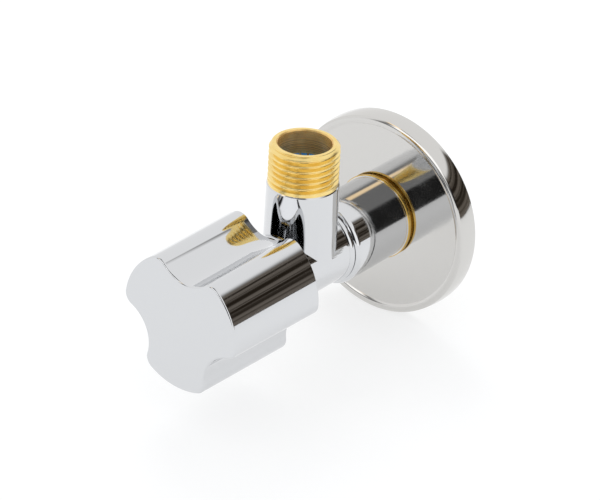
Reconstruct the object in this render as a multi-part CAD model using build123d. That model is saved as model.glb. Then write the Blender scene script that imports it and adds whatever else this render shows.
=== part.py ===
"""Quarter-turn angle valve with a wall escutcheon, a threaded outlet with a filter, and a three-lobed handle.

Frame: the origin is on the inlet axis in the plane of the wall. +Y runs into the wall, the handle is on the -Y side
and the outlet points up, along +Z. A "station" is a distance from the wall towards the handle, so y = -station.
Angles about the inlet axis run anticlockwise as seen by someone facing the handle, from +X towards +Z.
"""
from build123d import *
from math import cos, radians, sin, tan
import os

os.makedirs("parts", exist_ok=True)

# Clearances between pieces
thread_gap = 0.05          # between the mating thread cylinders
running_gap = 0.05         # between a turning shaft and its bore
film_gap = 0.02            # between the lapped faces of the two ceramic discs
slip_gap = 0.05            # axial play of the spindle
fitted_gap = 0.1           # around pieces that drop into a bore

# Valve body
pipe_thread_radius = 10.4775     # G 1/2, major radius
inlet_thread_reach = 12.5        # how far the inlet thread stands into the wall
thread_chamfer = 1.0
thread_relief_radius = 9.2       # groove between the inlet thread and the collar
thread_relief_width = 1.5
collar_radius = 13.6             # raw turned shoulder that the escutcheon leans on
collar_width = 1.9
collar_chamfer = 0.25
barrel_radius = 13.1
barrel_end = 32.1                # station of the crease between the barrel's crowned end and the cove
barrel_lip_radius = 12.9         # at that crease
barrel_crown_length = 2.1
cove_length = 1.8                # hollow between the crease and the neck
neck_radius = 11.3
port_station = 56.0              # face of the headwork port
port_round = 0.6
inlet_bore_radius = 6.5
seat_bore_radius = 4.6
seat_thickness = 3.0
seat_station = 36.0
chamber_radius = 7.5
chamber_end = 49.0
outlet_station = 44.2            # the outlet stem's axis
outlet_height = 38.8
outlet_thread_length = 12.9
stem_top_radius = 10.75
stem_base_radius = 11.1
stem_shoulder = 0.3              # height of the slope from the stem to the thread
outlet_bore_radius = 8.0
outlet_mouth_chamfer = 0.35
filter_ledge_height = 26.7       # ledge in the outlet bore that carries the filter
filter_bore_radius = 7.3
filter_bore_floor = 10.5
passage_radius = 5.0

# Escutcheon
escutcheon_face = 6.0            # station of the disc's front face
escutcheon_rim_radius = 32.7
escutcheon_shoulder_radius = 32.3
rim_bulge = 0.25
sheet = 0.7
bead_half_width = 1.0
bead_height = 0.5
escutcheon_hole_gap = 0.4

# Headwork
port_thread_radius = 8.331       # G 3/8, major radius
flange_radius = 10.9
flange_thickness = 1.0
hexagon_width = 17.0             # across flats
hexagon_height = 2.2
nose_radius = 5.6
nose_height = 0.4
skirt_radius = 6.95
skirt_bore_radius = 6.25
skirt_end_gap = 0.6              # how far the seat seal stands out of the skirt
undercut_radius = 7.95
undercut_width = 2.0
bonnet_thread_start = 49.2
window_angle = 80.0
window_start = 41.9
window_length = 4.4
ear_width = 3.0
seal_length = 3.0
seal_wall = 1.25
support_wall = 0.4
support_inset = 0.3
fixed_disc_thickness = 2.6
moving_disc_thickness = 2.8
moving_disc_radius = 6.0
port_inner_radius = 1.4          # sector openings of the discs
port_outer_radius = 4.5
port_angle = 74.0
driver_space = 2.2               # water space between the moving disc and the driver flange
driver_thickness = 1.8
driver_radius = 5.95
driver_waist_radius = 4.75
driver_lobe_angle = 65.2
dog_width = 2.2
dog_depth = 1.5
dog_inner_radius = 3.1
stop_rib_angle = 24.0
stop_rib_inner_radius = 5.0
stop_play = 0.4                  # degrees between a lobe and its stop rib at either end of the turn
quarter_turn = 90.0
washer_thickness = 0.45
washer_outer_radius = 4.85
shaft_radius = 4.0
ring_section_radius = 0.7
ring_groove_play = 0.15
inner_ring_station = 51.2
outer_ring_station = 54.6
bonnet_ring_section_radius = 0.85
circlip_thickness = 0.75
circlip_outer_radius = 5.4
circlip_groove_radius = 3.3
circlip_mouth = 4.4
spline_start = 61.0
spindle_end = 73.0
spline_radius = 3.9
spline_depth = 0.35
spline_teeth = 20
spindle_tip_chamfer = 0.5

# Handle
handle_rear = 61.5
handle_length = 36.1
handle_radius = 21.7             # at the rear edge
groove_radius = 10.6             # finger grooves between the lobes, at the rear edge
groove_offset = 25.35            # distance of each groove's centre from the axis
lobe_corner_radius = 4.3
handle_draft = 0.95              # degrees, the outline shrinks towards the front face
handle_setting = 85.7            # angle of the upper groove
handle_edge_round = 0.6
wall = 2.0
front_wall = 2.6
boss_radius = 6.8
boss_inset = 0.5
rib_thickness = 1.6
rib_inset = 6.0
rib_reach = 13.0
screw_pad_width = 6.4
screw_pad_length = 5.5
set_screw_radius = 1.5
set_screw_length = 6.0
set_screw_station = 63.9
set_screw_angle = handle_setting + 120    # in the groove on the left
set_screw_key = 1.5              # across the flats of its hexagon socket
set_screw_key_depth = 1.6

# Filter
cage_ring_height = 3.3
cage_ring_wall = 2.25
lug_count = 21
lug_height = 1.2
lug_gap = 0.65
lug_wall = 1.1
cage_rib_count = 4
cage_rib_width = 1.8
cage_side_gap = 0.7
cage_floor_height = 13.0
cage_floor_thickness = 1.8
filter_ring_height = 1.6         # the O-ring's middle above the ledge
mesh_wall = 0.3
mesh_lap = 1.0                   # how far the mesh reaches up inside the cage's ring


upwards = (Align.CENTER, Align.CENTER, Align.MIN)


def station(distance):
    """Plane across the inlet axis: its x is +X, its y is +Z and it faces the handle side."""
    return Plane(origin=(0, -distance, 0), x_dir=(1, 0, 0), z_dir=(0, -1, 0))


def level(height):
    """Horizontal plane centred on the outlet axis."""
    return Plane(origin=(0, -outlet_station, height))


def profile(*points):
    """Points in the plane of the inlet axis from (station, radius) pairs."""
    return [(radius, -distance) for distance, radius in points]


def turned(*points):
    """Solid of revolution about the inlet axis from (station, radius) points."""
    return revolve(make_face(Polyline(*profile(*points), close=True)), Axis.Y)


def turned_upright(*points):
    """Solid of revolution about the outlet axis from (height, radius) points."""
    outline = [(radius, height) for height, radius in points]
    half = Plane.XZ.offset(outlet_station) * make_face(Polyline(*outline, close=True))
    return revolve(half, Axis((0, -outlet_station, 0), (0, 0, 1)))


def rod(start, end, radius):
    """Cylinder about the inlet axis between two stations."""
    return extrude(station(start) * Circle(radius), end - start)


def tube(start, end, outer, inner):
    return rod(start, end, outer) - rod(start, end, inner)


def upright_tube(bottom, top, outer, inner):
    return extrude(level(bottom) * (Circle(outer) - Circle(inner)), top - bottom)


def wedge(width, angle, reach):
    """Flat triangle from the axis outwards, with the given opening angle, turned to an angle."""
    half = radians(width) / 2
    corner = (reach * cos(half), reach * sin(half))
    triangle = make_face(Polyline((0, 0), corner, (corner[0], -corner[1]), close=True))
    return Rot(0, 0, angle) * triangle


def sector(inner, outer, width, angle):
    """Part of a flat ring between two radii, centred on an angle."""
    return (Circle(outer) - Circle(inner)) & wedge(width, angle, 2 * outer)


def o_ring(distance, centre_radius, section_radius):
    return station(distance) * Torus(centre_radius, section_radius)


def spline_outline(gap):
    """Star outline of the spindle's spline, grown by a gap."""
    crest = spline_radius + gap
    root = crest - spline_depth
    step = radians(360 / spline_teeth)
    points = []
    for tooth in range(spline_teeth):
        points.append((crest * cos(tooth * step), crest * sin(tooth * step)))
        points.append((root * cos((tooth + 0.5) * step), root * sin((tooth + 0.5) * step)))
    return make_face(Polyline(*points, close=True))


# Stations and radii that follow from the sizes above
collar_front = escutcheon_face + collar_width
thread_relief_start = escutcheon_face - thread_relief_width
stem_thread_base = outlet_height - outlet_thread_length
fixed_disc_rear = seat_station + seal_length
fixed_disc_front = fixed_disc_rear + fixed_disc_thickness
moving_disc_rear = fixed_disc_front + film_gap
moving_disc_front = moving_disc_rear + moving_disc_thickness
driver_rear = moving_disc_front + driver_space
driver_front = driver_rear + driver_thickness
washer_front = driver_front + washer_thickness
bonnet_shoulder = washer_front + slip_gap
shaft_bore_radius = shaft_radius + running_gap
skirt_end = seat_station + skirt_end_gap
flange_front = port_station + flange_thickness
hexagon_front = flange_front + hexagon_height
nose_front = hexagon_front + nose_height
circlip_rear = nose_front + slip_gap
circlip_front = circlip_rear + circlip_thickness
ring_groove_radius = shaft_radius - 2 * ring_section_radius
ring_centre_radius = shaft_bore_radius - film_gap - ring_section_radius
bonnet_ring_centre = undercut_radius + running_gap + bonnet_ring_section_radius
port_recess_radius = bonnet_ring_centre + bonnet_ring_section_radius + running_gap
port_recess_depth = 2 * bonnet_ring_section_radius
port_bore_radius = port_thread_radius + thread_gap
loose_radius = skirt_bore_radius - fitted_gap
stop_rib_place = driver_lobe_angle / 2 + stop_rib_angle / 2 + stop_play
handle_front = handle_rear + handle_length
cage_ring_radius = outlet_bore_radius - fitted_gap
cage_bore_radius = cage_ring_radius - cage_ring_wall
cage_radius = filter_bore_radius - cage_side_gap
mesh_radius = cage_bore_radius - running_gap
cage_ring_top = filter_ledge_height + cage_ring_height
filter_ring_centre = outlet_bore_radius - running_gap - ring_section_radius


def make_body_outside():
    """Inlet thread, collar, crowned barrel, cove and neck about the inlet axis, with the outlet stem on the neck."""
    rear = profile(
        (-inlet_thread_reach, 0), (-inlet_thread_reach, pipe_thread_radius - thread_chamfer),
        (-inlet_thread_reach + thread_chamfer, pipe_thread_radius), (thread_relief_start, pipe_thread_radius),
        (thread_relief_start, thread_relief_radius), (escutcheon_face, thread_relief_radius),
        (escutcheon_face, collar_radius - collar_chamfer), (escutcheon_face + collar_chamfer, collar_radius),
        (collar_front - collar_chamfer, collar_radius), (collar_front, collar_radius - collar_chamfer),
        (collar_front, barrel_radius), (barrel_end - barrel_crown_length, barrel_radius))
    crease, cove_end, port_edge, port_middle = profile(
        (barrel_end, barrel_lip_radius), (barrel_end + cove_length, neck_radius),
        (port_station, neck_radius), (port_station, 0))
    outline = Polyline(*rear).edges() + Polyline(cove_end, port_edge, port_middle, rear[0]).edges()
    outline.append(TangentArc(rear[-1], crease, tangent=(0, -1)))
    outline.append(TangentArc(cove_end, crease, tangent=(0, 1)))
    barrel = revolve(make_face(outline), Axis.Y)
    barrel = fillet(barrel.edges().filter_by(GeomType.CIRCLE).sort_by(Axis.Y)[0], port_round)
    stem = turned_upright(
        (0, 0), (0, stem_base_radius), (stem_thread_base - stem_shoulder, stem_top_radius),
        (stem_thread_base, pipe_thread_radius), (outlet_height - thread_chamfer, pipe_thread_radius),
        (outlet_height, pipe_thread_radius - thread_chamfer), (outlet_height, 0))
    return barrel + stem


def make_valve_body():
    """Forged brass body: inlet thread, collar, barrel, neck with the headwork port, and outlet stem."""
    body = make_body_outside()
    body -= rod(-inlet_thread_reach, seat_station - seat_thickness, inlet_bore_radius)
    body -= rod(-inlet_thread_reach, seat_station, seat_bore_radius)
    body -= rod(seat_station, chamber_end, chamber_radius)
    body -= rod(chamber_end, port_station, port_bore_radius)
    body -= rod(port_station - port_recess_depth, port_station, port_recess_radius)
    body -= turned_upright(
        (outlet_height, 0), (outlet_height, outlet_bore_radius + outlet_mouth_chamfer),
        (outlet_height - outlet_mouth_chamfer, outlet_bore_radius), (filter_ledge_height, outlet_bore_radius),
        (filter_ledge_height, filter_bore_radius), (filter_bore_floor, filter_bore_radius),
        (filter_bore_floor, passage_radius), (0, passage_radius), (0, 0))
    return body


def dish(inset):
    """Solid dome of the escutcheon's outer form, shrunk by an inset."""
    face = escutcheon_face - inset
    shoulder = escutcheon_shoulder_radius - inset
    rim = escutcheon_rim_radius - inset
    bead_centre = escutcheon_shoulder_radius - bead_half_width - inset
    bead_start = bead_centre - bead_half_width + inset
    outline = [
        Line((0, 0), (0, -face)),
        Line((0, -face), (bead_start, -face)),
        ThreePointArc((bead_start, -face), (bead_centre, -face - bead_height), (shoulder, -face)),
        ThreePointArc((shoulder, -face), ((shoulder + rim) / 2 + rim_bulge, -face / 2), (rim, 0)),
        Line((rim, 0), (0, 0))]
    return revolve(make_face(outline), Axis.Y)


def make_escutcheon():
    """Pressed sheet disc with a beaded edge and a rolled-back rim."""
    hole = rod(0, escutcheon_face, pipe_thread_radius + escutcheon_hole_gap)
    return dish(0) - dish(sheet) - hole


def make_bonnet():
    """Headwork housing: windowed skirt, port thread, flange, hexagon and the shaft's bore."""
    bonnet = turned(
        (skirt_end, 0), (skirt_end, skirt_radius), (bonnet_thread_start, skirt_radius),
        (bonnet_thread_start, port_thread_radius), (port_station - undercut_width, port_thread_radius),
        (port_station - undercut_width, undercut_radius), (port_station, undercut_radius),
        (port_station, flange_radius), (flange_front, flange_radius), (flange_front, 0))
    hexagon = RegularPolygon(hexagon_width / 2, 6, major_radius=False)
    bonnet += extrude(station(flange_front) * hexagon, hexagon_height)
    bonnet += rod(hexagon_front, nose_front, nose_radius)
    bonnet -= rod(skirt_end, bonnet_shoulder, skirt_bore_radius)
    bonnet -= rod(skirt_end, nose_front, shaft_bore_radius)
    for side in (90, 270):
        window = sector(stop_rib_inner_radius, port_thread_radius, window_angle, side)
        bonnet -= extrude(station(window_start) * window, window_length)
    for side in (0, 180):
        slot = Rot(0, 0, side) * Pos(skirt_radius, 0) * Rectangle(2 * skirt_radius, ear_width + fitted_gap)
        keyway = extrude(station(skirt_end) * (slot - Circle(loose_radius)), fixed_disc_front - skirt_end)
        bonnet -= keyway
    for side in (0, 180):
        rib = sector(stop_rib_inner_radius, skirt_radius, stop_rib_angle, side - stop_rib_place)
        bonnet += extrude(station(driver_rear) * rib, bonnet_shoulder - driver_rear)
    return bonnet


def make_seat_seal():
    return tube(seat_station, fixed_disc_rear, loose_radius, loose_radius - seal_wall)


def make_seal_support_ring():
    outer = loose_radius - seal_wall
    return tube(seat_station + support_inset, fixed_disc_rear, outer, outer - support_wall)


def disc_openings(angle):
    return sector(port_inner_radius, port_outer_radius, port_angle, angle) + \
        sector(port_inner_radius, port_outer_radius, port_angle, angle + 180)


def make_fixed_disc():
    """Ceramic disc with two ears keyed into the bonnet's skirt."""
    outline = Circle(loose_radius) + (Circle(skirt_radius - fitted_gap) & Rectangle(4 * skirt_radius, ear_width))
    return extrude(station(fixed_disc_rear) * (outline - disc_openings(0)), fixed_disc_thickness)


def make_moving_disc():
    """Ceramic disc whose openings stand across those of the fixed disc when the valve is closed."""
    outline = Circle(moving_disc_radius) - disc_openings(quarter_turn)
    disc = extrude(station(moving_disc_rear) * outline, moving_disc_thickness)
    notch = Rectangle(4 * moving_disc_radius, dog_width + 2 * running_gap) - Circle(dog_inner_radius - fitted_gap)
    return disc - extrude(station(moving_disc_front - dog_depth - fitted_gap) * notch, dog_depth + fitted_gap)


def make_spindle():
    """Driver with two dogs and two stop lobes, ringed shaft and splined head in one piece."""
    lobes = Circle(driver_waist_radius)
    for side in (0, 180):
        lobes += sector(0.5 * driver_waist_radius, driver_radius, driver_lobe_angle, side)
    spindle = extrude(station(driver_rear) * lobes, driver_thickness)
    dogs = (Circle(driver_radius) - Circle(dog_inner_radius)) & Rectangle(4 * driver_radius, dog_width)
    spindle += extrude(station(moving_disc_front - dog_depth) * dogs, dog_depth + driver_space)
    spindle += rod(driver_front, spline_start, shaft_radius)
    head = extrude(station(spline_start) * spline_outline(0), spindle_end - spline_start)
    tip = turned(
        (spline_start, 0), (spline_start, 2 * spline_radius),
        (spindle_end - 2 * spindle_tip_chamfer, 2 * spline_radius),
        (spindle_end - spindle_tip_chamfer, spline_radius), (spindle_end, spline_radius - spindle_tip_chamfer),
        (spindle_end, 0))
    spindle += head & tip
    half_groove = ring_section_radius + ring_groove_play
    for middle in (inner_ring_station, outer_ring_station):
        spindle -= tube(middle - half_groove, middle + half_groove, 2 * shaft_radius, ring_groove_radius)
    spindle -= tube(circlip_rear - slip_gap, circlip_front + slip_gap, 2 * shaft_radius, circlip_groove_radius)
    return spindle


def make_slip_washer():
    return tube(driver_front, washer_front, washer_outer_radius, shaft_radius + running_gap)


def make_circlip():
    ring = Circle(circlip_outer_radius) - Circle(circlip_groove_radius + running_gap)
    mouth = Pos(0, -circlip_outer_radius) * Rectangle(circlip_mouth, 2 * circlip_outer_radius)
    return extrude(station(circlip_rear) * (ring - mouth), circlip_thickness)


def handle_outline(inset):
    """Outline of the handle with three finger grooves, moved inwards by an inset."""
    outline = Circle(handle_radius - inset)
    for turn in (0, 120, 240):
        angle = radians(handle_setting + turn)
        centre = Pos(groove_offset * cos(angle), groove_offset * sin(angle))
        outline -= centre * Circle(groove_radius + inset)
    return fillet(outline.vertices(), lobe_corner_radius - inset)


def handle_block(length, inset):
    """Drafted solid from the rear edge forwards, inside the handle's outline."""
    front_inset = inset + length * tan(radians(handle_draft))
    rear = station(handle_rear) * handle_outline(inset)
    front = station(handle_rear + length) * handle_outline(front_inset)
    return loft([rear, front], ruled=True)


def make_handle_core():
    """What stands inside the shell: the boss, a rib to each groove and the set screw's pad."""
    boss_rear = handle_rear + boss_inset
    core = rod(boss_rear, handle_front - front_wall, boss_radius)
    for turn in (0, 120, 240):
        rib = Rot(0, 0, handle_setting + turn) * Pos(rib_reach / 2, 0) * Rectangle(rib_reach, rib_thickness)
        core += extrude(station(handle_rear + rib_inset) * rib, handle_length - rib_inset - front_wall)
    pad = Rot(0, 0, set_screw_angle) * Pos(rib_reach / 2, 0) * Rectangle(rib_reach, screw_pad_width)
    return core + extrude(station(boss_rear) * pad, screw_pad_length)


def make_handle():
    """Three-lobed shell hollowed out around its splined boss, ribs and screw pad."""
    handle = handle_block(handle_length, 0)
    handle = fillet(handle.faces().sort_by(Axis.Y)[0].edges(), handle_edge_round)
    handle -= handle_block(handle_length - front_wall, wall) - make_handle_core()
    handle -= extrude(station(handle_rear) * spline_outline(running_gap), spindle_end - handle_rear)
    screw_hole = Cylinder(set_screw_radius + thread_gap, handle_radius, align=upwards)
    return handle - screw_place() * screw_hole


def screw_place():
    """Frame on the inlet axis whose z runs out along the set screw."""
    angle = radians(set_screw_angle)
    return Plane(origin=(0, -set_screw_station, 0), x_dir=(0, 1, 0), z_dir=(cos(angle), 0, sin(angle)))


def make_set_screw():
    """Grub screw with a hexagon socket, its tip against the spline."""
    start = spline_radius + running_gap
    screw = Pos(0, 0, start) * Cylinder(set_screw_radius, set_screw_length, align=upwards)
    tip = screw.edges().filter_by(GeomType.CIRCLE).sort_by(Axis.Z)[0]
    screw = chamfer(tip, set_screw_radius / 3)
    socket = RegularPolygon(set_screw_key / 2, 6, major_radius=False)
    screw -= extrude(Pos(0, 0, start + set_screw_length - set_screw_key_depth) * socket, set_screw_key_depth)
    return screw_place() * screw


def make_filter_cage():
    """Plastic basket: castellated ring on the ledge, ribs and a closed floor."""
    ring = upright_tube(filter_ledge_height, cage_ring_top, cage_ring_radius, cage_bore_radius)
    middle = filter_ledge_height + filter_ring_height
    half_groove = ring_section_radius + ring_groove_play
    groove_bottom = filter_ring_centre - ring_section_radius - running_gap
    ring -= upright_tube(middle - half_groove, middle + half_groove, 2 * cage_ring_radius, groove_bottom)
    crown = upright_tube(cage_ring_top, cage_ring_top + lug_height, cage_ring_radius, cage_ring_radius - lug_wall)
    for tooth in range(lug_count):
        gap = Rot(0, 0, tooth * 360 / lug_count) * Pos(cage_ring_radius, 0) * Rectangle(4 * lug_wall, lug_gap)
        crown -= extrude(level(cage_ring_top) * gap, lug_height)
    basket_bottom = cage_floor_height + cage_floor_thickness
    cage = ring + crown + extrude(level(cage_floor_height) * Circle(cage_radius), cage_floor_thickness)
    wall_ring = Circle(cage_radius) - Circle(cage_bore_radius)
    for turn in range(cage_rib_count):
        bar = Rot(0, 0, (turn + 0.5) * 360 / cage_rib_count) * Pos(cage_radius, 0)
        rib = wall_ring & (bar * Rectangle(cage_radius, cage_rib_width))
        cage += extrude(level(basket_bottom) * rib, filter_ledge_height - basket_bottom)
    return cage


def make_filter_o_ring():
    return level(filter_ledge_height + filter_ring_height) * Torus(filter_ring_centre, ring_section_radius)


def make_filter_mesh():
    bottom = cage_floor_height + cage_floor_thickness
    return upright_tube(bottom, filter_ledge_height + mesh_lap, mesh_radius, mesh_radius - mesh_wall)


pieces = {
    "valve_body": make_valve_body(),
    "escutcheon": make_escutcheon(),
    "filter_cage": make_filter_cage(),
    "filter_mesh": make_filter_mesh(),
    "filter_o_ring": make_filter_o_ring(),
    "bonnet": make_bonnet(),
    "bonnet_o_ring": o_ring(port_station - port_recess_depth / 2, bonnet_ring_centre, bonnet_ring_section_radius),
    "seat_seal": make_seat_seal(),
    "seal_support_ring": make_seal_support_ring(),
    "fixed_disc": make_fixed_disc(),
    "moving_disc": make_moving_disc(),
    "spindle": make_spindle(),
    "slip_washer": make_slip_washer(),
    "spindle_o_ring_inner": o_ring(inner_ring_station, ring_centre_radius, ring_section_radius),
    "spindle_o_ring_outer": o_ring(outer_ring_station, ring_centre_radius, ring_section_radius),
    "circlip": make_circlip(),
    "handle": make_handle(),
    "set_screw": make_set_screw(),
}

for name, shape in pieces.items():
    export_step(shape, f"parts/{name}.step")
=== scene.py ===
import math

import bmesh
import bpy
from mathutils import Matrix, Vector


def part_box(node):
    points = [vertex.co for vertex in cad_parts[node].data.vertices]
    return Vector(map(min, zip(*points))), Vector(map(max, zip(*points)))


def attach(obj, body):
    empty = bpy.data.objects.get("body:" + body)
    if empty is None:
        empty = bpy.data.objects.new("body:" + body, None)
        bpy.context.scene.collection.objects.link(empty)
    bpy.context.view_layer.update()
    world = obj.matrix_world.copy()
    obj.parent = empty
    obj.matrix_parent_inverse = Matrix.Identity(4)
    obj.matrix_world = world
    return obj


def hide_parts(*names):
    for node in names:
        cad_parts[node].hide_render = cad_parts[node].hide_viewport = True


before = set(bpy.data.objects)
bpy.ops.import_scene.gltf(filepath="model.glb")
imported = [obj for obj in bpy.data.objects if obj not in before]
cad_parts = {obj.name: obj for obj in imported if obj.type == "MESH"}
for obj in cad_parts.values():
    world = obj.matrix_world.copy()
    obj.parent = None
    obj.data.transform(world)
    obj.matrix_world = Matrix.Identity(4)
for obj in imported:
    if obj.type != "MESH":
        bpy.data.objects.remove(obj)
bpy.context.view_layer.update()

# Shapes are written in millimetres. A station is a distance from the wall, so y = -station.
mm = 0.001

# Read from the frame
body_low, body_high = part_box("valve_body")
handle_low, handle_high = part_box("handle")
plate_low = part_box("escutcheon")[0]
inlet_end = -body_high.y / mm
port_station = -body_low.y / mm
outlet_height = body_high.z / mm
collar_radius = body_high.x / mm
handle_rear = -handle_high.y / mm
handle_front = -handle_low.y / mm
bead_front = -plate_low.y / mm

# Valve body
pipe_radius = 10.4775
thread_pitch = 1.814
thread_depth = 1.162
thread_sharp_depth = 1.452
thread_flank_angle = 27.5
thread_chamfer = 1.0
thread_edge_round = 0.1
outlet_thread_gap = 0.9          # from the foot of each threaded length to its thread
inlet_thread_gap = 0.5
relief_radius = 9.2
relief_start = 4.5
relief_round = 0.2
collar_start = 6.0
collar_end = 7.9
collar_round = 0.25
undercut_end = 6.8               # narrow undercut between the collar and the escutcheon
undercut_radius = 12.9
undercut_round = 0.15
barrel_radius = 13.1
barrel_end = 32.1
barrel_lip_radius = 12.1
barrel_crown_length = 1.7
slit_radius = 11.7               # fine slit between the barrel's rounded end and a bead beside it
slit_width = 0.15
end_bead_radius = 12.0
end_bead_width = 0.3
end_bead_slope = 1.3
end_bead_round = 0.15
neck_radius = 11.3
port_round = 0.6
inlet_bore = 6.5
seat_bore = 4.6
seat_rear = 33.0
seat_front = 36.0
chamber_bore = 7.5
chamber_end = 49.0
port_bore = 8.38
recess_bore = 9.75
recess_depth = 1.7
outlet_station = 44.2
thread_base = 25.9
stem_top_radius = 10.75
stem_base_radius = 11.1
stem_shoulder = 0.3
stem_shoulder_round = 0.3
thread_foot_round = 0.15
mouth_round = 0.2
outlet_bore = 8.0
mouth_chamfer = 0.35
ledge_height = 26.7
filter_bore = 7.3
filter_floor = 10.5
passage_bore = 5.0

# Escutcheon
plate_face = 6.0
plate_hole = 10.88
plate_hole_round = 0.2
shoulder_radius = 32.3
rim_radius = 32.7
rim_bulge = 0.25
plate_sheet = 0.7
bead_half_width = 1.3

# Handle
lobe_radius = 21.7
groove_radius = 10.6
groove_offset = 25.35
corner_radius = 4.3
draft = math.tan(math.radians(0.95))
handle_setting = math.radians(85.7)
handle_edge_round = 0.6
handle_rear_round = 0.2
hollow_round = 0.8
boss_round = 0.3
handle_wall = 2.0
front_wall = 2.6
boss_radius = 6.8
boss_inset = 0.5
spline_bore = 3.95
bore_end = 73.0
rib_thickness = 1.6
rib_inset = 6.0
rib_reach = 13.0
pad_width = 6.4
pad_length = 5.5
screw_station = 63.9
screw_hole_radius = 1.55

# Fineness of the meshes
turn_steps = 160
plate_steps = 256
thread_steps = 72
corner_steps = 5
groove_steps = 14
lobe_steps = 26
edge_segments = 6
inner_segments = 3
hole_steps = 48
sharp_angle = math.radians(32)
curve_steps = 10
widest_round = 0.49             # share of a side that a round at its end may take
merge_distance = 0.001
same_station = 0.01
over = 1.0                      # how far a cutting shape reaches past what it cuts

third = 2 * math.pi / 3
screw_angle = handle_setting + third
to_stations = Matrix.Rotation(math.pi / 2, 4, "X")      # +Z to -Y: heights become stations
to_inlet = Matrix.Rotation(-math.pi / 2, 4, "X")        # +Z to +Y
to_outlet = Matrix.Translation((0, -outlet_station * mm, 0))

PLATED, TURNED_UPRIGHT, TURNED_LEVEL, BORED = range(4)    # finishes on the valve body's faces


def solid(name, bm, place=Matrix.Identity(4), surface=None):
    """Object from a bmesh, put in its place; surface gives a face's finish by its height before that."""
    bmesh.ops.recalc_face_normals(bm, faces=bm.faces)
    mesh = bpy.data.meshes.new(name)
    if surface:
        for face in bm.faces:
            face.material_index = surface(face.calc_center_median().z / mm)
        for material in body_finishes:
            mesh.materials.append(material)
    bmesh.ops.transform(bm, matrix=place, verts=bm.verts)
    bm.to_mesh(mesh)
    bm.free()
    piece = bpy.data.objects.new(name, mesh)
    bpy.context.scene.collection.objects.link(piece)
    return piece


def all_over(finish_index):
    """Surface function that gives every face one finish."""
    return lambda height: finish_index


def carve(piece, tool, operation):
    """Joins a tool to a piece or cuts it out of it, and removes the tool."""
    boolean = piece.modifiers.new("carve", "BOOLEAN")
    boolean.operation, boolean.solver, boolean.object = operation, "EXACT", tool
    graph = bpy.context.evaluated_depsgraph_get()
    made = bpy.data.meshes.new_from_object(piece.evaluated_get(graph))
    piece.modifiers.clear()
    old, piece.data = piece.data, made
    bpy.data.meshes.remove(old)
    bpy.data.objects.remove(tool)
    made.name = piece.name


def softened(corners):
    """Outline points from (a, b) or (a, b, round) corners, each round made an arc."""
    points = []
    for i, corner in enumerate(corners):
        here = Vector(corner[:2])
        if len(corner) < 3:
            points.append(here)
            continue
        back = Vector(corners[i - 1][:2]) - here
        ahead = Vector(corners[(i + 1) % len(corners)][:2]) - here
        half = back.angle(ahead) / 2
        reach = min(corner[2] / math.tan(half), widest_round * back.length, widest_round * ahead.length)
        bisector = (back.normalized() + ahead.normalized()).normalized()
        centre = here + bisector * (reach / math.cos(half))
        first = here + back.normalized() * reach - centre
        last = here + ahead.normalized() * reach - centre
        turn = first.angle_signed(last)
        for k in range(corner_steps + 1):
            points.append(centre + Matrix.Rotation(-turn * k / corner_steps, 2) @ first)
    return points


def arc(centre, radius, start, end):
    """Points on an arc between two angles in degrees, from the first coordinate towards the second."""
    angles = [math.radians(start + (end - start) * k / curve_steps) for k in range(curve_steps + 1)]
    return [Vector((centre[0] + radius * math.cos(a), centre[1] + radius * math.sin(a))) for a in angles]


def eased(level, edge):
    """Points on the arc that leaves one outline point along the axis and ends at another."""
    along, rise = edge[0] - level[0], edge[1] - level[1]
    radius = (along ** 2 + rise ** 2) / (2 * rise)
    turns = [2 * math.atan(rise / along) * k / curve_steps for k in range(curve_steps + 1)]
    return [Vector((level[0] + radius * math.sin(t), level[1] + radius * (1 - math.cos(t)))) for t in turns]


def bead(foot, half_width, height, facing):
    """Arc of a bead over its foot, bulging towards an angle in degrees."""
    radius = (half_width ** 2 / height + height) / 2
    spread = math.degrees(math.asin(half_width / radius))
    centre = Vector(foot) + Matrix.Rotation(math.radians(facing), 2) @ Vector((height - radius, 0))
    return arc(centre, radius, facing - spread, facing + spread)


def revolved(points, closed=False, steps=turn_steps):
    """Solid turned about +Z from (along, radius) points; an open outline starts and ends on the axis."""
    bm = bmesh.new()
    verts = [bm.verts.new((p[1] * mm, 0, p[0] * mm)) for p in points]
    edges = [bm.edges.new(pair) for pair in zip(verts, verts[1:])]
    if closed:
        edges.append(bm.edges.new((verts[-1], verts[0])))
    bmesh.ops.spin(bm, geom=verts + edges, cent=(0, 0, 0), axis=(0, 0, 1), angle=2 * math.pi, steps=steps,
                   use_merge=True)
    bmesh.ops.remove_doubles(bm, verts=bm.verts, dist=merge_distance * mm)
    return bm


def block(low, high):
    """Box between two corners in millimetres."""
    bm = bmesh.new()
    bmesh.ops.create_cube(bm, size=mm)
    bmesh.ops.scale(bm, vec=Vector(high) - Vector(low), verts=bm.verts)
    bmesh.ops.translate(bm, vec=(Vector(high) + Vector(low)) / 2 * mm, verts=bm.verts)
    return bm


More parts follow.
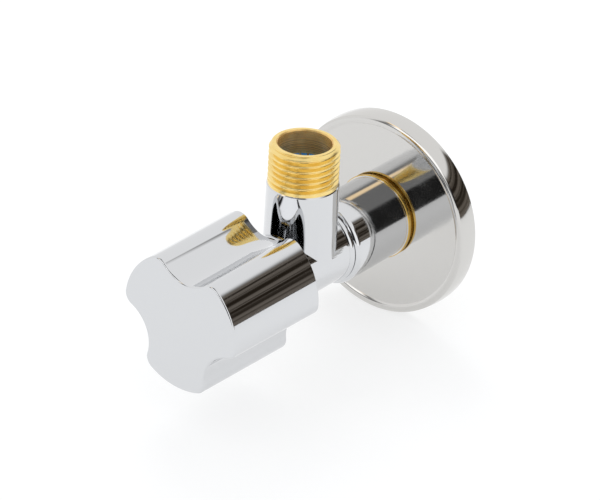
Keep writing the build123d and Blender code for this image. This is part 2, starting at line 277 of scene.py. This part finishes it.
def thread_cutter(start, end):
    """Helical groove about +Z that comes in above the start and runs out at the end."""
    flank = math.tan(math.radians(thread_flank_angle))
    crest = [(-0.2, 0.47), (0.0, 0.455), (0.06, 0.415)]     # depth, then half width as a share of the pitch
    flank_start, flank_margin = 0.2, 0.12
    root_margin, root_half_width = 0.02, 0.08
    half = [(depth, share * thread_pitch) for depth, share in crest]
    flank_end = thread_depth - flank_margin
    half += [(depth, (thread_sharp_depth - depth) * flank) for depth in (flank_start, flank_end)]
    half += [(thread_depth - root_margin, root_half_width), (thread_depth, 0.0)]
    outline = half + [(depth, -width) for depth, width in reversed(half[:-1])]
    bm = bmesh.new()
    loop = [bm.verts.new(((pipe_radius - depth) * mm, 0, (start + thread_pitch + width) * mm))
            for depth, width in outline]
    ring = loop + [bm.edges.new((loop[i - 1], loop[i])) for i in range(len(loop))]
    step = -2 * math.pi / thread_steps
    fall = Vector((0, 0, -thread_pitch * mm / thread_steps))
    runout = thread_steps // 2
    full = round((start + thread_pitch - end) / thread_pitch * thread_steps) - runout
    screw = {"cent": (0, 0, 0), "axis": (0, 0, 1), "dvec": fall}
    ring = bmesh.ops.spin(bm, geom=ring, angle=full * step, steps=full, **screw)["geom_last"]
    for k in range(1, runout + 1):
        ring = bmesh.ops.spin(bm, geom=ring, angle=step, steps=1, **screw)["geom_last"]
        angle = (full + k) * step
        out = Vector((math.cos(angle), math.sin(angle), 0)) * thread_depth * mm / runout
        bmesh.ops.translate(bm, verts=[g for g in ring if isinstance(g, bmesh.types.BMVert)], vec=out)
    bmesh.ops.holes_fill(bm, edges=[edge for edge in bm.edges if edge.is_boundary], sides=0)
    return bm


def make_valve_body():
    """Body with both threads cut, turned collar, barrel with a bead at its end, neck, stem and bores."""
    bead_start = barrel_end + slit_width
    bead_crest = bead_start + end_bead_width
    bead_end = bead_crest + end_bead_slope
    outline = softened([
        (inlet_end, 0), (inlet_end, pipe_radius - thread_chamfer, thread_edge_round),
        (inlet_end + thread_chamfer, pipe_radius, thread_edge_round),
        (relief_start, pipe_radius, thread_edge_round),
        (relief_start, relief_radius, relief_round), (collar_start, relief_radius, relief_round),
        (collar_start, undercut_radius), (undercut_end, undercut_radius),
        (undercut_end, collar_radius, undercut_round), (collar_end, collar_radius, collar_round),
        (collar_end, barrel_radius), (barrel_end, 0)])[:-1]
    outline += eased((barrel_end - barrel_crown_length, barrel_radius), (barrel_end, barrel_lip_radius))
    outline.append(Vector((barrel_end, slit_radius)))
    outline += softened([
        (bead_start, slit_radius), (bead_start, end_bead_radius, end_bead_round),
        (bead_crest, end_bead_radius)])
    outline += eased((bead_crest, end_bead_radius), (bead_end, neck_radius))[1:]
    outline += softened([
        (bead_end, neck_radius), (port_station, neck_radius, port_round), (port_station, 0)])[1:]
    body = solid("brass_body", revolved(outline), to_stations,
                 lambda station: TURNED_LEVEL if station < collar_end else PLATED)
    stem = softened([
        (0, 0), (0, stem_base_radius), (thread_base - stem_shoulder, stem_top_radius, stem_shoulder_round),
        (thread_base, pipe_radius, thread_foot_round),
        (outlet_height - thread_chamfer, pipe_radius, mouth_round),
        (outlet_height, pipe_radius - thread_chamfer, mouth_round), (outlet_height, 0)])
    carve(body, solid("stem", revolved(stem), to_outlet,
                      lambda height: TURNED_UPRIGHT if height > thread_base else PLATED), "UNION")
    main_bore = [
        (inlet_end - over, 0), (inlet_end - over, inlet_bore + over + mouth_chamfer),
        (inlet_end + mouth_chamfer, inlet_bore), (seat_rear, inlet_bore), (seat_rear, seat_bore),
        (seat_front, seat_bore), (seat_front, chamber_bore), (chamber_end, chamber_bore),
        (chamber_end, port_bore), (port_station - recess_depth, port_bore),
        (port_station - recess_depth, recess_bore), (port_station + over, recess_bore),
        (port_station + over, 0)]
    carve(body, solid("main_bore", revolved(main_bore), to_stations, all_over(TURNED_LEVEL)), "DIFFERENCE")
    outlet = [
        (0, 0), (0, passage_bore), (filter_floor, passage_bore), (filter_floor, filter_bore),
        (ledge_height, filter_bore), (ledge_height, outlet_bore),
        (outlet_height - mouth_chamfer, outlet_bore),
        (outlet_height + over, outlet_bore + mouth_chamfer + over), (outlet_height + over, 0)]
    carve(body, solid("outlet", revolved(outlet), to_outlet, all_over(BORED)), "DIFFERENCE")
    outlet_cutter = thread_cutter(outlet_height, thread_base + outlet_thread_gap)
    carve(body, solid("outlet_thread", outlet_cutter, to_outlet, all_over(TURNED_UPRIGHT)), "DIFFERENCE")
    inlet_cutter = thread_cutter(-inlet_end, -relief_start - inlet_thread_gap)
    carve(body, solid("inlet_thread", inlet_cutter, to_inlet, all_over(TURNED_LEVEL)), "DIFFERENCE")
    return body


def make_escutcheon():
    """Pressed plate: flat face, bead near the edge, bulged rim and a round hole."""
    def skin(inset):
        """Bead and rim at a depth below the outside."""
        face, top, foot = plate_face - inset, shoulder_radius - inset, rim_radius - inset
        points = bead((face, top - bead_half_width), bead_half_width, bead_front - plate_face, 0)
        bulge = (top + foot) / 2 + 2 * rim_bulge
        for k in range(1, curve_steps + 1):
            t = k / curve_steps
            radius = (1 - t) ** 2 * top + 2 * t * (1 - t) * bulge + t * t * foot
            points.append(Vector((face * (1 - t), radius)))
        return points

    rear = plate_face - plate_sheet
    hole = softened([
        (rear, plate_hole + over), (rear, plate_hole, plate_hole_round),
        (plate_face, plate_hole, plate_hole_round), (plate_face, plate_hole + over)])[1:-1]
    outline = skin(0) + skin(plate_sheet)[::-1] + hole
    return solid("wall_plate", revolved(outline, closed=True, steps=plate_steps), to_stations)


def lobed_loop(bm, station, inset):
    """Closed outline of the handle at a station, moved inwards by an inset: arcs spun from one vertex."""
    corner_reach = lobe_radius - corner_radius
    corner_angle = math.acos((corner_reach ** 2 + groove_offset ** 2 - (groove_radius + corner_radius) ** 2)
                             / (2 * corner_reach * groove_offset))
    corner = Vector((corner_reach * math.cos(corner_angle), corner_reach * math.sin(corner_angle)))
    half_groove = math.pi - math.atan2(corner.y, corner.x - groove_offset)
    corner_turn = corner_angle + half_groove
    groove = Vector((groove_offset, 0))
    place = Matrix.Rotation(handle_setting, 2) @ Vector((groove_offset - groove_radius - inset, 0))
    first = last = bm.verts.new((place.x * mm, place.y * mm, station * mm))
    for lobe in range(3):
        here = Matrix.Rotation(handle_setting + lobe * third, 2)
        ahead = Matrix.Rotation(handle_setting + (lobe + 1) * third, 2)
        swings = [
            (here @ groove, -half_groove, groove_steps), (here @ corner, corner_turn, lobe_steps),
            (Vector((0, 0)), third - 2 * corner_angle, lobe_steps),
            (ahead @ Vector((corner.x, -corner.y)), corner_turn, lobe_steps),
            (ahead @ groove, -half_groove, groove_steps)]
        for centre, angle, steps in swings:
            cent = (centre.x * mm, centre.y * mm, station * mm)
            spun = bmesh.ops.spin(bm, geom=[last], cent=cent, axis=(0, 0, 1), angle=angle, steps=steps)
            last = [g for g in spun["geom_last"] if isinstance(g, bmesh.types.BMVert)][0]
    bmesh.ops.weld_verts(bm, targetmap={last: first})


def lobed_block(rear, front, inset):
    """Drafted solid between two stations inside the handle's outline, with its front edge left sharp."""
    bm = bmesh.new()
    lobed_loop(bm, rear, inset + (rear - handle_rear) * draft)
    lobed_loop(bm, front, inset + (front - handle_rear) * draft)
    bm.edges.ensure_lookup_table()
    bmesh.ops.bridge_loops(bm, edges=bm.edges[:])
    bmesh.ops.holes_fill(bm, edges=[edge for edge in bm.edges if edge.is_boundary], sides=0)
    return bm


def round_end(bm, station, radius, segments):
    """Rounds the edge loop that lies at a station."""
    loop = [edge for edge in bm.edges
            if all(abs(vert.co.z / mm - station) < same_station for vert in edge.verts)]
    bmesh.ops.bevel(
        bm, geom=loop, offset=radius * mm, segments=segments, profile=0.5, affect="EDGES", material=-1)


def make_handle():
    """Three-lobed shell with its boss, ribs, screw pad and screw hole."""
    shell = lobed_block(handle_rear, handle_front, 0)
    round_end(shell, handle_front, handle_edge_round, edge_segments)
    round_end(shell, handle_rear, handle_rear_round, inner_segments)
    handle = solid("lobed_handle", shell, to_stations)
    hollow_end = handle_front - front_wall
    hollow_shape = lobed_block(handle_rear - over, hollow_end, handle_wall)
    round_end(hollow_shape, hollow_end, hollow_round, inner_segments)
    hollow = solid("hollow", hollow_shape, to_stations)
    boss_rear = handle_rear + boss_inset
    boss = softened([
        (boss_rear, 0), (boss_rear, boss_radius, boss_round),
        (handle_front, boss_radius), (handle_front, 0)])
    carve(hollow, solid("boss", revolved(boss), to_stations), "DIFFERENCE")
    rib_rear = handle_rear + rib_inset
    ribs = [(handle_setting + k * third, rib_thickness, rib_rear, handle_front) for k in range(3)]
    ribs.append((screw_angle, pad_width, boss_rear, boss_rear + pad_length))
    for angle, thickness, start, end in ribs:
        rib = block((over, -thickness / 2, start), (rib_reach, thickness / 2, end))
        turned = to_stations @ Matrix.Rotation(angle, 4, "Z")
        carve(hollow, solid("rib", rib, turned), "DIFFERENCE")
    carve(handle, hollow, "DIFFERENCE")
    bore = [
        (handle_rear - over, 0), (handle_rear - over, spline_bore), (bore_end, spline_bore), (bore_end, 0)]
    carve(handle, solid("bore", revolved(bore), to_stations), "DIFFERENCE")
    hole = revolved([(spline_bore - over, 0), (spline_bore - over, screw_hole_radius),
                     (lobe_radius, screw_hole_radius), (lobe_radius, 0)], steps=hole_steps)
    turned = Matrix.Rotation(math.pi / 2 - screw_angle, 4, "Y")
    across = Matrix.Translation((0, -screw_station * mm, 0)) @ turned
    carve(handle, solid("screw_hole", hole, across), "DIFFERENCE")
    return handle


class Value:
    """An output of a node; arithmetic on it adds Math nodes."""

    def __init__(self, nodes, socket):
        self.nodes, self.socket = nodes, socket

    def __add__(self, other):
        return self.nodes.add("Math", {"operation": "ADD"}, {0: self, 1: other})

    def __sub__(self, other):
        return self.nodes.add("Math", {"operation": "SUBTRACT"}, {0: self, 1: other})

    def __rsub__(self, other):
        return self.nodes.add("Math", {"operation": "SUBTRACT"}, {0: other, 1: self})

    def __mul__(self, other):
        return self.nodes.add("Math", {"operation": "MULTIPLY"}, {0: self, 1: other})

    __radd__, __rmul__ = __add__, __mul__


class Nodes:
    """A node tree that is built one node at a time."""

    def __init__(self, tree):
        self.tree = tree
        tree.nodes.clear()

    def add(self, kind, settings=None, inputs=None, out=0):
        """Adds a node with its settings and then values or links on its inputs, and returns an output."""
        node = self.tree.nodes.new("ShaderNode" + kind)
        for key, value in (settings or {}).items():
            setattr(node, key, value)
        for key, value in (inputs or {}).items():
            if isinstance(value, Value):
                self.tree.links.new(value.socket, node.inputs[key])
            else:
                node.inputs[key].default_value = value
        return Value(self, node.outputs[out])

    def end(self, kind, shader):
        """Output node of a material or a world."""
        output = self.tree.nodes.new("ShaderNode" + kind)
        self.tree.links.new(shader.socket, output.inputs["Surface"])

    def noise(self, scale, detail):
        place = self.add("TexCoord", out="Object")
        return self.add("TexNoise", None, {"Vector": place, "Scale": scale, "Detail": detail}, "Fac")

    def layers(self, along, scale):
        """Noise that changes along one value only."""
        one_way = {"noise_dimensions": "1D"}
        return self.add("TexNoise", one_way, {"W": along, "Scale": scale, "Detail": 3.0}, "Fac")

    def between(self, value, low, high):
        """Smooth step from 0 to 1 as a value goes from low to high."""
        steps = {"interpolation_type": "SMOOTHSTEP"}
        return self.add("MapRange", steps, {"Value": value, "From Min": low, "From Max": high})

    def blend(self, share, first, second):
        """Mix of two colours, each a colour or a link."""
        first, second = (c if isinstance(c, Value) else (*c, 1) for c in (first, second))
        return self.add("Mix", {"data_type": "RGBA"}, {0: share, 6: first, 7: second}, 2)

    def bump(self, height, depth):
        """Normal from a height of 0 to 1 that stands for a depth in millimetres."""
        return self.add("Bump", None, {"Height": height, "Strength": 1.0, "Distance": depth * mm})


def finish(name, build):
    """Material whose shader inputs are made by build, which gets the tree and returns them by name."""
    material = bpy.data.materials.new(name)
    material.use_nodes = True
    nodes = Nodes(material.node_tree)
    inputs = {key: (*value, 1) if isinstance(value, tuple) and len(value) == 3 else value
              for key, value in build(nodes).items()}
    shader = nodes.add("BsdfPrincipled", None, inputs)
    nodes.end("OutputMaterial", shader)
    return material


def chrome(tone, clean, wiped, unevenness):
    """Bright plate over a surface that is not quite even, with faint wipe marks a little rougher."""
    def build(nodes):
        smudge = nodes.between(nodes.noise(55.0, 4.0), 0.45, 0.75)
        waves = nodes.noise(75.0, 1.0)
        return {"Base Color": tone, "Metallic": 1.0, "Roughness": clean + (wiped - clean) * smudge,
                "Normal": nodes.bump(waves, unevenness)}
    return build


def turned_brass(axis, bright, dull, mark_depth, roughness, metallic=1.0):
    """Bare brass with fine marks round an axis, bright and dull in patches, oxidised if less metallic."""
    def build(nodes):
        place = nodes.add("TexCoord", out="Object")
        along = nodes.add("SeparateXYZ", None, {0: place}, axis)
        marks = nodes.layers(along, 5200.0)
        patches = nodes.between(nodes.noise(260.0, 3.0), 0.35, 0.7)
        return {"Base Color": nodes.blend(patches * 0.6 + marks * 0.4, bright, dull), "Metallic": metallic,
                "Roughness": roughness + 0.1 * marks, "Normal": nodes.bump(marks, mark_depth)}
    return build


def ceramic(nodes):
    grain = nodes.noise(2500.0, 2.0)
    return {"Base Color": nodes.blend(grain, (0.90, 0.89, 0.86), (0.84, 0.82, 0.78)),
            "Roughness": 0.14 + 0.1 * grain, "Normal": nodes.bump(grain, 0.002)}


def rubber(nodes):
    grain = nodes.noise(1800.0, 3.0)
    return {"Base Color": nodes.blend(grain, (0.018, 0.018, 0.02), (0.035, 0.034, 0.034)),
            "Roughness": 0.42 + 0.2 * grain, "Normal": nodes.bump(grain, 0.01)}


def drawn_steel(nodes):
    grain = nodes.noise(900.0, 4.0)
    return {"Base Color": nodes.blend(grain, (0.62, 0.62, 0.62), (0.5, 0.5, 0.51)), "Metallic": 1.0,
            "Roughness": 0.22 + 0.2 * grain, "Normal": nodes.bump(grain, 0.004)}


def black_steel(nodes):
    grain = nodes.noise(1400.0, 4.0)
    return {"Base Color": nodes.blend(grain, (0.035, 0.035, 0.04), (0.07, 0.068, 0.07)), "Metallic": 0.8,
            "Roughness": 0.32 + 0.2 * grain, "Normal": nodes.bump(grain, 0.006)}


def blue_plastic(nodes):
    grain = nodes.noise(700.0, 3.0)
    return {"Base Color": nodes.blend(grain, (0.012, 0.22, 0.66), (0.03, 0.34, 0.85)),
            "Roughness": 0.28 + 0.15 * grain, "Normal": nodes.bump(grain, 0.01)}


def white_plastic(nodes):
    grain = nodes.noise(700.0, 3.0)
    return {"Base Color": nodes.blend(grain, (0.86, 0.86, 0.83), (0.78, 0.78, 0.74)),
            "Roughness": 0.35 + 0.15 * grain, "Normal": nodes.bump(grain, 0.006)}


def dress(name, piece, body, node, materials=()):
    """Makes a finished shape the shown piece of a node: smooth but for sharp edges, with its materials."""
    piece.name = name
    for material in materials:
        piece.data.materials.append(material)
    piece.data.shade_smooth()
    piece.data.set_sharp_from_angle(angle=sharp_angle)
    weighted = piece.modifiers.new("weighted_normals", "WEIGHTED_NORMAL")
    weighted.keep_sharp = True
    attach(piece, body)
    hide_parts(node)


cast_chrome = finish("chrome_on_castings", chrome((0.675, 0.683, 0.697), 0.045, 0.09, 0.012))
sheet_chrome = finish("chrome_on_sheet", chrome((0.640, 0.630, 0.612), 0.07, 0.13, 0.018))
level_brass = finish("brass_turned_level", turned_brass(
    "Y", (0.74, 0.50, 0.14), (0.55, 0.34, 0.07), 0.006, 0.2))
upright_brass = finish("brass_threaded", turned_brass(
    "Z", (0.94, 0.74, 0.32), (0.86, 0.62, 0.21), 0.003, 0.19))
bored_brass = finish("brass_bored", turned_brass(
    "Z", (0.95, 0.63, 0.23), (0.66, 0.39, 0.12), 0.02, 0.22, 0.6))
body_finishes = [cast_chrome, upright_brass, level_brass, bored_brass]     # by PLATED and so on
finishes = {
    "bonnet": level_brass, "spindle": level_brass,
    "filter_cage": finish("blue_filter_plastic", blue_plastic),
    "filter_mesh": finish("filter_gauze", drawn_steel),
    "seal_support_ring": finish("drawn_steel", drawn_steel),
    "slip_washer": finish("white_washer_plastic", white_plastic),
    "set_screw": finish("blackened_steel", black_steel),
    "fixed_disc": finish("lapped_ceramic", ceramic)}
finishes["moving_disc"] = finishes["fixed_disc"]
finishes["circlip"] = finishes["seal_support_ring"]
seal_rubber = finish("seal_rubber", rubber)
for ring in ("filter_o_ring", "bonnet_o_ring", "seat_seal", "spindle_o_ring_inner", "spindle_o_ring_outer"):
    finishes[ring] = seal_rubber
for node, material in finishes.items():
    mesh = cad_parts[node].data
    mesh.materials.clear()
    mesh.materials.append(material)

dress("body_forging", make_valve_body(), "body", "valve_body")
dress("wall_plate", make_escutcheon(), "body", "escutcheon", [sheet_chrome])
dress("lobed_handle", make_handle(), "handle", "handle", [cast_chrome])

# Camera, as the photograph was taken
view_azimuth = math.radians(37.908)
view_elevation = math.radians(29.266)
view_roll = math.radians(3.089)
view_distance = 0.774192
focal_pixels = 2500.0
frame_width, frame_height = 600, 500
origin_pixel = (389.392, 207.918)       # where the part's origin is in the picture

back = Vector((math.sin(view_azimuth) * math.cos(view_elevation),
               -math.cos(view_azimuth) * math.cos(view_elevation), math.sin(view_elevation)))
level_right = Vector((math.cos(view_azimuth), math.sin(view_azimuth), 0))
level_up = back.cross(level_right)
right = math.cos(view_roll) * level_right + math.sin(view_roll) * level_up
up = back.cross(right)
per_pixel = view_distance / focal_pixels
aside = (origin_pixel[0] - frame_width / 2) * per_pixel
below = (origin_pixel[1] - frame_height / 2) * per_pixel
camera_data = bpy.data.cameras.new("camera")
camera_data.sensor_width = 36.0
camera_data.lens = focal_pixels / frame_width * camera_data.sensor_width
camera_data.clip_start, camera_data.clip_end = 0.01, 20.0
camera = bpy.data.objects.new("camera", camera_data)
bpy.context.scene.collection.objects.link(camera)
camera.matrix_world = Matrix.Translation(view_distance * back - aside * right + below * up) @ Matrix(
    (right, up, back)).transposed().to_4x4()
bpy.context.scene.camera = camera

# Plain pale floor
floor_height = plate_low.z
floor_reach = 3.2
floor_glow = 0.66
floor_colour = (0.36, 0.36, 0.36, 1)


def staged(name, bm, shader):
    """Part of the stage with a material whose shader is made by a function that gets the node tree."""
    part = solid(name, bm)
    material = bpy.data.materials.new(name)
    material.use_nodes = True
    nodes = Nodes(material.node_tree)
    nodes.end("OutputMaterial", shader(nodes))
    part.data.materials.append(material)
    return part


def white_top(nodes):
    glow = nodes.add("Emission", None, {"Color": (1, 1, 1, 1), "Strength": floor_glow})
    matt = nodes.add("BsdfDiffuse", None, {"Color": floor_colour})
    return nodes.add("AddShader", None, {0: glow, 1: matt})


ground = bmesh.new()
bmesh.ops.create_grid(ground, x_segments=1, y_segments=1, size=floor_reach)
bmesh.ops.translate(ground, vec=(0, 0, floor_height), verts=ground.verts)
staged("floor", ground, white_top)

# Painted reflections round the valve, dark bands and bright patches on a shell that only reflections see:
# azimuths run from +Y through +X, and all angles are in degrees
shell_radius = 4.0
azimuth_middle = 120.0           # the azimuths run half a turn to either side of this one
white = (1.0, 1.0, 1.0)
# Painted dark reflection with painted warm streaks across it, seen only in reflections; it blocks no light
dark_reflection_colour, streak_reflection_colour = (0.02, 0.015, 0.01), (0.15, 0.13, 0.11)
dark_band_azimuths, dark_band_elevations = (14, 83, 6), (-9, 38, 3)       # low, high and softness
streak_scale, streak_start, streak_end = 0.22, 0.42, 0.6
# Painted reflections, none of them a lamp or a flag: they light nothing diffusely and block no light
painted_reflection_patches = [                        # colour, then low, high and softness of its azimuth and of its elevation
    ((0.27, 0.27, 0.27), (128, 218, 5), (-4, 100, 4)),          # a dim painted reflection over the camera
    ((0.02, 0.02, 0.02), (129, 158, 4), (-12, 38, 3)),          # a dark painted reflection to the right of the camera
    ((1.2, 1.2, 1.2), (88, 124, 4), (-12, 42, 5)),              # a bright painted reflection between the dark ones
    ((1.6, 1.6, 1.6), (158, 208, 4), (12, 36, 3)),              # a bright painted reflection behind the camera
    ((1.7, 1.3, 0.8), (203, 217, 3), (34, 43, 1.5))]            # a warm painted highlight, not a lamp


def painted_reflections(nodes):
    """Painted reflections by direction, a dark band with painted streaks and bright patches, and clear
    between them, so that the white background shows.
    """
    place = nodes.add("TexCoord", out="Object")
    way = nodes.add("VectorMath", {"operation": "NORMALIZE"}, {0: place})
    x, y, z = (nodes.add("SeparateXYZ", None, {0: way}, axis) for axis in "XYZ")
    middle = math.radians(azimuth_middle)
    ahead = x * math.sin(middle) + y * math.cos(middle)
    aside = x * math.cos(middle) - y * math.sin(middle)
    degree = 180 / math.pi
    azimuth = nodes.add("Math", {"operation": "ARCTAN2"}, {0: aside, 1: ahead}) * degree + azimuth_middle
    elevation = nodes.add("Math", {"operation": "ARCSINE"}, {0: z}) * degree

    def cover(azimuths, elevations):
        share = 1.0
        for angle, (low, high, soft) in ((azimuth, azimuths), (elevation, elevations)):
            above_low = nodes.between(angle, low - soft, low + soft)
            below_high = nodes.between(angle, high + soft, high - soft)
            share = above_low * below_high * share
        return share

    # Painted streaks across the painted dark reflection, changing with elevation
    layers = nodes.layers(elevation, streak_scale)
    painted_dark_band = nodes.blend(nodes.between(layers, streak_start, streak_end), dark_reflection_colour, streak_reflection_colour)
    clear, colour = 1.0, white
    for patch_colour, azimuths, elevations in [(painted_dark_band, dark_band_azimuths, dark_band_elevations)] + painted_reflection_patches:
        here = cover(azimuths, elevations)
        colour = nodes.blend(here, colour, patch_colour)
        clear = (1 - here) * clear
    glow = nodes.add("Emission", None, {"Color": colour, "Strength": 1.0})
    return nodes.add("MixShader", None, {0: clear, 1: glow, 2: nodes.add("BsdfTransparent")})


ball = bmesh.new()
bmesh.ops.create_uvsphere(ball, u_segments=64, v_segments=32, radius=shell_radius)
shell = staged("painted_reflection_shell", ball, painted_reflections)
# The shell shows only in reflections, where it paints dark and bright reflections; it lights nothing
# diffusely and casts no shadow
for ray in ("camera", "diffuse", "transmission", "shadow"):
    setattr(shell, "visible_" + ray, False)


def make_world():
    """White behind the object and in its reflections, and pale soft light on it."""
    world = bpy.data.worlds.new("painted_reflections")
    world.use_nodes = True
    bpy.context.scene.world = world
    nodes = Nodes(world.node_tree)
    seen = [nodes.add("LightPath", out="Is %s Ray" % kind) for kind in ("Camera", "Glossy", "Transmission")]
    colour = nodes.blend(seen[0] + seen[1] + seen[2], (0.93, 0.95, 0.97), (1.0, 1.0, 1.0))
    nodes.end("OutputWorld", nodes.add("Background", None, {"Color": colour, "Strength": 1.0}))


make_world()


def soft_light(name, place, size, power):
    data = bpy.data.lights.new(name, "AREA")
    data.shape, data.size, data.energy = "DISK", size, power
    lamp = bpy.data.objects.new(name, data)
    bpy.context.scene.collection.objects.link(lamp)
    lamp.location = place
    lamp.rotation_mode = "QUATERNION"
    lamp.rotation_quaternion = Vector(place).to_track_quat("Z", "Y")
    lamp.visible_camera = lamp.visible_glossy = False


soft_light("window", (-0.45, 0.35, 0.55), 0.45, 1.6)

bpy.context.scene.view_settings.view_transform = "Standard"
